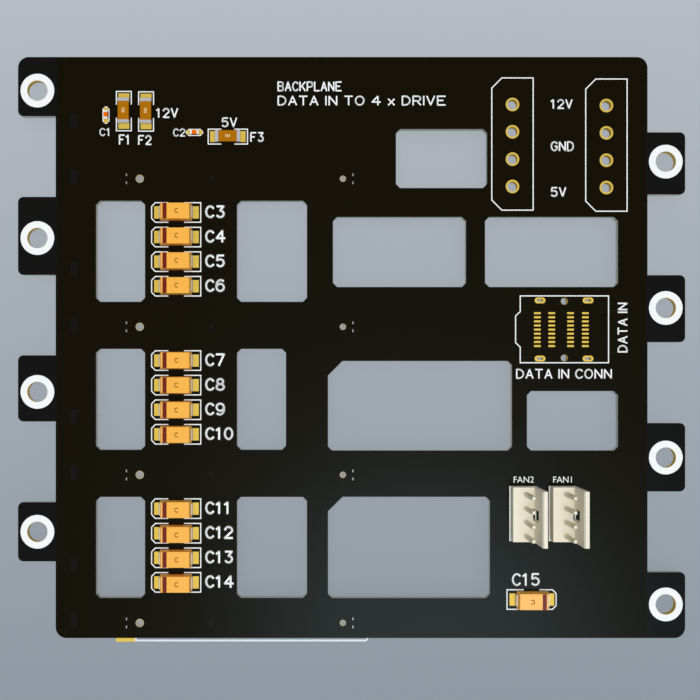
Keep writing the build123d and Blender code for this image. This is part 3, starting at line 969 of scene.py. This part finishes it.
class DRIVE_BOARD_OT_dress_sockets(Operator):
    """Finishes the drive sockets behind the board and lays the lands under their contacts' feet"""

    bl_idname = "drive_board.dress_sockets"
    bl_label = "Dress the Drive Sockets"

    def execute(self, context):
        colours = context.scene.board_colours
        gold = nodes["capacitor_lands"].data.materials[0]
        polymer = moulded_plastic("Moulded liquid crystal polymer", colours.polymer, 0.5, 1.4 * MM, 0.02)
        plated = immersion_gold(colours)
        plated.name = "Gold-plated contact strip"
        rows = numbered("drive_socket_", "_housing")
        for row in rows:
            give([f"drive_socket_{row}_housing"], polymer)
            give([f"drive_socket_{row}_contacts"], plated)
            give([f"drive_socket_{row}_anchors"], gold)
        sockets = [centre(f"drive_socket_{row}_housing") for row in rows]
        self.lay_foot_lands(sockets, gold, context.scene.board_print.land_thickness)
        self.solder_legs(sockets, colours)
        self.paint_shade_on_peg_ends(sockets)
        return {"FINISHED"}

    def lay_foot_lands(self, sockets, gold, thickness):
        """A gold land on the board's back under each contact's foot."""
        pitch = 1.27 * MM
        end_contact_x = 16.51 * MM
        power_contacts = 15
        signal_contacts = 7
        steps = [-end_contact_x + pitch * step for step in range(power_contacts)]
        steps += [end_contact_x - pitch * step for step in range(signal_contacts)]
        land = start_plane(0.76 * MM, 1.7 * MM)
        cut_corners(land, 0.08 * MM, lambda corner: True)
        thicken(land, thickness)
        places = [at(socket.x + step, socket.y + 3.4 * MM, BOARD_BACK - thickness)
                  for socket in sockets for step in steps]
        finish_piece(join_copies(land, places), "drive_socket_foot_lands", gold)

    def solder_legs(self, sockets, colours):
        """The anchors' legs end in filled slots, with a narrow bright tip in each."""
        filler, _, _ = new_material(
            "Solder mask in a filled slot",
            {"Base Color": rgba(colours.mask), "Roughness": 0.4, "Specular IOR Level": 0.046})
        tip = tin_plate("Soldered leg tip", "#9C9A9A", 0.45)
        slots = []
        for socket in sockets:
            for leg_x in (-21.35, 20.76):
                for leg_y in (-0.75, 0.75):
                    slots.append((socket.x + leg_x * MM, socket.y + leg_y * MM))
        plug = start_plane(0.4 * MM, 0.65 * MM)
        thicken(plug, 0.29 * MM)
        places = [at(x, y, BOARD_FACE - 0.3 * MM) for x, y in slots]
        finish_piece(join_copies(plug, places), "anchor_slot_fillings", filler)
        sliver = start_plane(0.2 * MM, 0.54 * MM)
        cut_corners(sliver, 0.08 * MM, lambda corner: True)
        thicken(sliver, 0.02 * MM)
        places = [at(x, y, BOARD_FACE - 0.01 * MM) for x, y in slots]
        finish_piece(join_copies(sliver, places), "anchor_leg_tips", tip)

    def paint_shade_on_peg_ends(self, sockets):
        """Grey discs on the pegs' ends where they come through the board: painted shade of the white pegs
        deep in their holes.
        """
        # Painted shade: the grey stands in for the shade on the white polymer pegs deep in their holes
        painted_shade = moulded_plastic("Polymer peg end in painted shade", linear("#A4A4AC"), 0.6, 0.5 * MM, 0.04)
        for side, end, radius in ((-1, "left", 0.68 * MM), (1, "right", 0.5 * MM)):
            clear_selection()
            bpy.ops.mesh.primitive_circle_add(vertices=32, radius=radius, fill_type="NGON")
            disc = bpy.context.object
            thicken(disc, 0.01 * MM)
            tip = BOARD_BACK + 1.15 * MM
            places = [at(socket.x + side * PEG_OFFSET, socket.y, tip) for socket in sockets]
            finish_piece(join_copies(disc, places), f"{end}_peg_painted_shade", painted_shade)


class DRIVE_BOARD_OT_set_stage(Operator):
    """Lays the floor, hangs the lamps and sets the camera over the board"""

    bl_idname = "drive_board.set_stage"
    bl_label = "Set the Stage"

    def execute(self, context):
        studio = context.scene.board_studio
        self.lay_floor(studio)
        self.light_room(context.scene, studio)
        overhead = self.hang_lamp("Overhead lamp", (-0.007, -0.005, 0.8), 0.4, studio.overhead_power)
        overhead.visible_glossy = False
        sheen = self.hang_lamp("Sheen lamp", (0.092, -0.234, 0.786), 0.28, studio.sheen_power)
        sheen.visible_diffuse = False
        self.set_camera(context.scene, studio)
        context.scene.view_settings.view_transform = "Standard"
        return {"FINISHED"}

    def floor_finish(self, studio):
        """Pale painted floor: the camera and mirror surfaces see its own shade, and it keeps the shadow."""
        material, shader, place = new_material(
            "Painted studio floor", {"Roughness": 0.9, "Specular IOR Level": 0.0})
        link = material.node_tree.links.new
        across = add_node(material, "ShaderNodeSeparateXYZ", links={0: place})
        reach = 68 * MM
        rise = add_node(
            material, "ShaderNodeMapRange", {"From Min": -reach, "From Max": reach}, {0: across.outputs[1]})
        shade = add_node(
            material, "ShaderNodeMix",
            {"data_type": "RGBA", 6: rgba(studio.floor_near), 7: rgba(studio.floor_far)},
            {0: rise.outputs[0]})
        link(shade.outputs[2], shader.inputs["Base Color"])
        glow = add_node(material, "ShaderNodeEmission", links={"Color": shade.outputs[2]})
        glow_share = 0.85
        share = add_node(
            material, "ShaderNodeMath", {"operation": "MULTIPLY", 1: glow_share},
            {0: straight_view(material)})
        blend = add_node(
            material, "ShaderNodeMixShader",
            links={0: share.outputs[0], 1: shader.outputs[0], 2: glow.outputs[0]})
        link(blend.outputs[0], material.node_tree.nodes["Material Output"].inputs["Surface"])
        return material

    def lay_floor(self, studio):
        clear_selection()
        bpy.ops.mesh.primitive_plane_add(size=6)
        floor = bpy.context.object
        floor.name = "Studio floor"
        floor.data.materials.append(self.floor_finish(studio))

    def light_room(self, scene, studio):
        """Even light from all round; the camera and mirror surfaces see the backdrop's shade instead."""
        room = bpy.data.worlds.new("Studio room")
        room.use_nodes = True
        room.node_tree.nodes.clear()
        soft = add_node(
            room, "ShaderNodeBackground", {"Color": (1.0, 1.0, 1.0, 1.0), "Strength": studio.ambient})
        backdrop = add_node(room, "ShaderNodeBackground", {"Color": rgba(studio.floor_far)})
        blend = add_node(
            room, "ShaderNodeMixShader",
            links={0: straight_view(room), 1: soft.outputs[0], 2: backdrop.outputs[0]})
        add_node(room, "ShaderNodeOutputWorld", links={"Surface": blend.outputs[0]})
        scene.world = room

    def hang_lamp(self, name, place, size, power):
        lamp = bpy.data.lights.new(name, "AREA")
        lamp.shape = "DISK"
        lamp.size = size
        lamp.energy = power
        holder = bpy.data.objects.new(name, lamp)
        bpy.context.scene.collection.objects.link(holder)
        holder.location = place
        aim = Vector((0, 0, BOARD_FACE)) - holder.location
        holder.rotation_euler = aim.to_track_quat("-Z", "Y").to_euler()
        return holder

    def set_camera(self, scene, studio):
        """Looks straight down; a small shift brings the board's middle to the picture's middle."""
        picture = 700
        pixels_per_metre = 5380
        view_centre = (312, 377)
        camera = bpy.data.cameras.new("Camera")
        camera.sensor_width = 36
        camera.lens = pixels_per_metre * studio.camera_height * camera.sensor_width / picture
        camera.shift_x = (picture / 2 - view_centre[0]) / picture
        camera.shift_y = (view_centre[1] - picture / 2) / picture
        camera.clip_start = 0.01
        holder = bpy.data.objects.new("Camera", camera)
        scene.collection.objects.link(holder)
        holder.location = (-7.36 * MM, -5.48 * MM, BOARD_FACE + studio.camera_height)
        scene.camera = holder


STEPS = (
    DRIVE_BOARD_OT_mask_board,
    DRIVE_BOARD_OT_plate_holes,
    DRIVE_BOARD_OT_lay_data_lands,
    DRIVE_BOARD_OT_print_outlines,
    DRIVE_BOARD_OT_letter_board,
    DRIVE_BOARD_OT_dress_chips,
    DRIVE_BOARD_OT_dress_headers,
    DRIVE_BOARD_OT_dress_sockets,
    DRIVE_BOARD_OT_set_stage,
)


class VIEW3D_PT_drive_board(Panel):
    """Lists the board's steps and settings"""

    bl_label = "Drive Board"
    bl_idname = "VIEW3D_PT_drive_board"
    bl_space_type = "VIEW_3D"
    bl_region_type = "UI"
    bl_category = "Drive Board"

    def draw(self, context):
        layout = self.layout
        for step in STEPS:
            layout.operator(step.bl_idname)
        for group in (context.scene.board_print, context.scene.board_colours, context.scene.board_studio):
            for name in group.bl_rna.properties.keys():
                if name not in ("rna_type", "name"):
                    layout.prop(group, name)


SETTINGS = {
    "board_print": DriveBoardPrint,
    "board_colours": DriveBoardColours,
    "board_studio": DriveBoardStudio,
}


def register():
    for kind in (*SETTINGS.values(), *STEPS, VIEW3D_PT_drive_board):
        bpy.utils.register_class(kind)
    for name, group in SETTINGS.items():
        setattr(bpy.types.Scene, name, PointerProperty(type=group))


def unregister():
    for name in SETTINGS:
        delattr(bpy.types.Scene, name)
    for kind in (VIEW3D_PT_drive_board, *reversed(STEPS), *SETTINGS.values()):
        bpy.utils.unregister_class(kind)


def main():
    register()
    for step in STEPS:
        group, name = step.bl_idname.split(".")
        getattr(getattr(bpy.ops, group), name)()


if __name__ == "__main__":
    main()
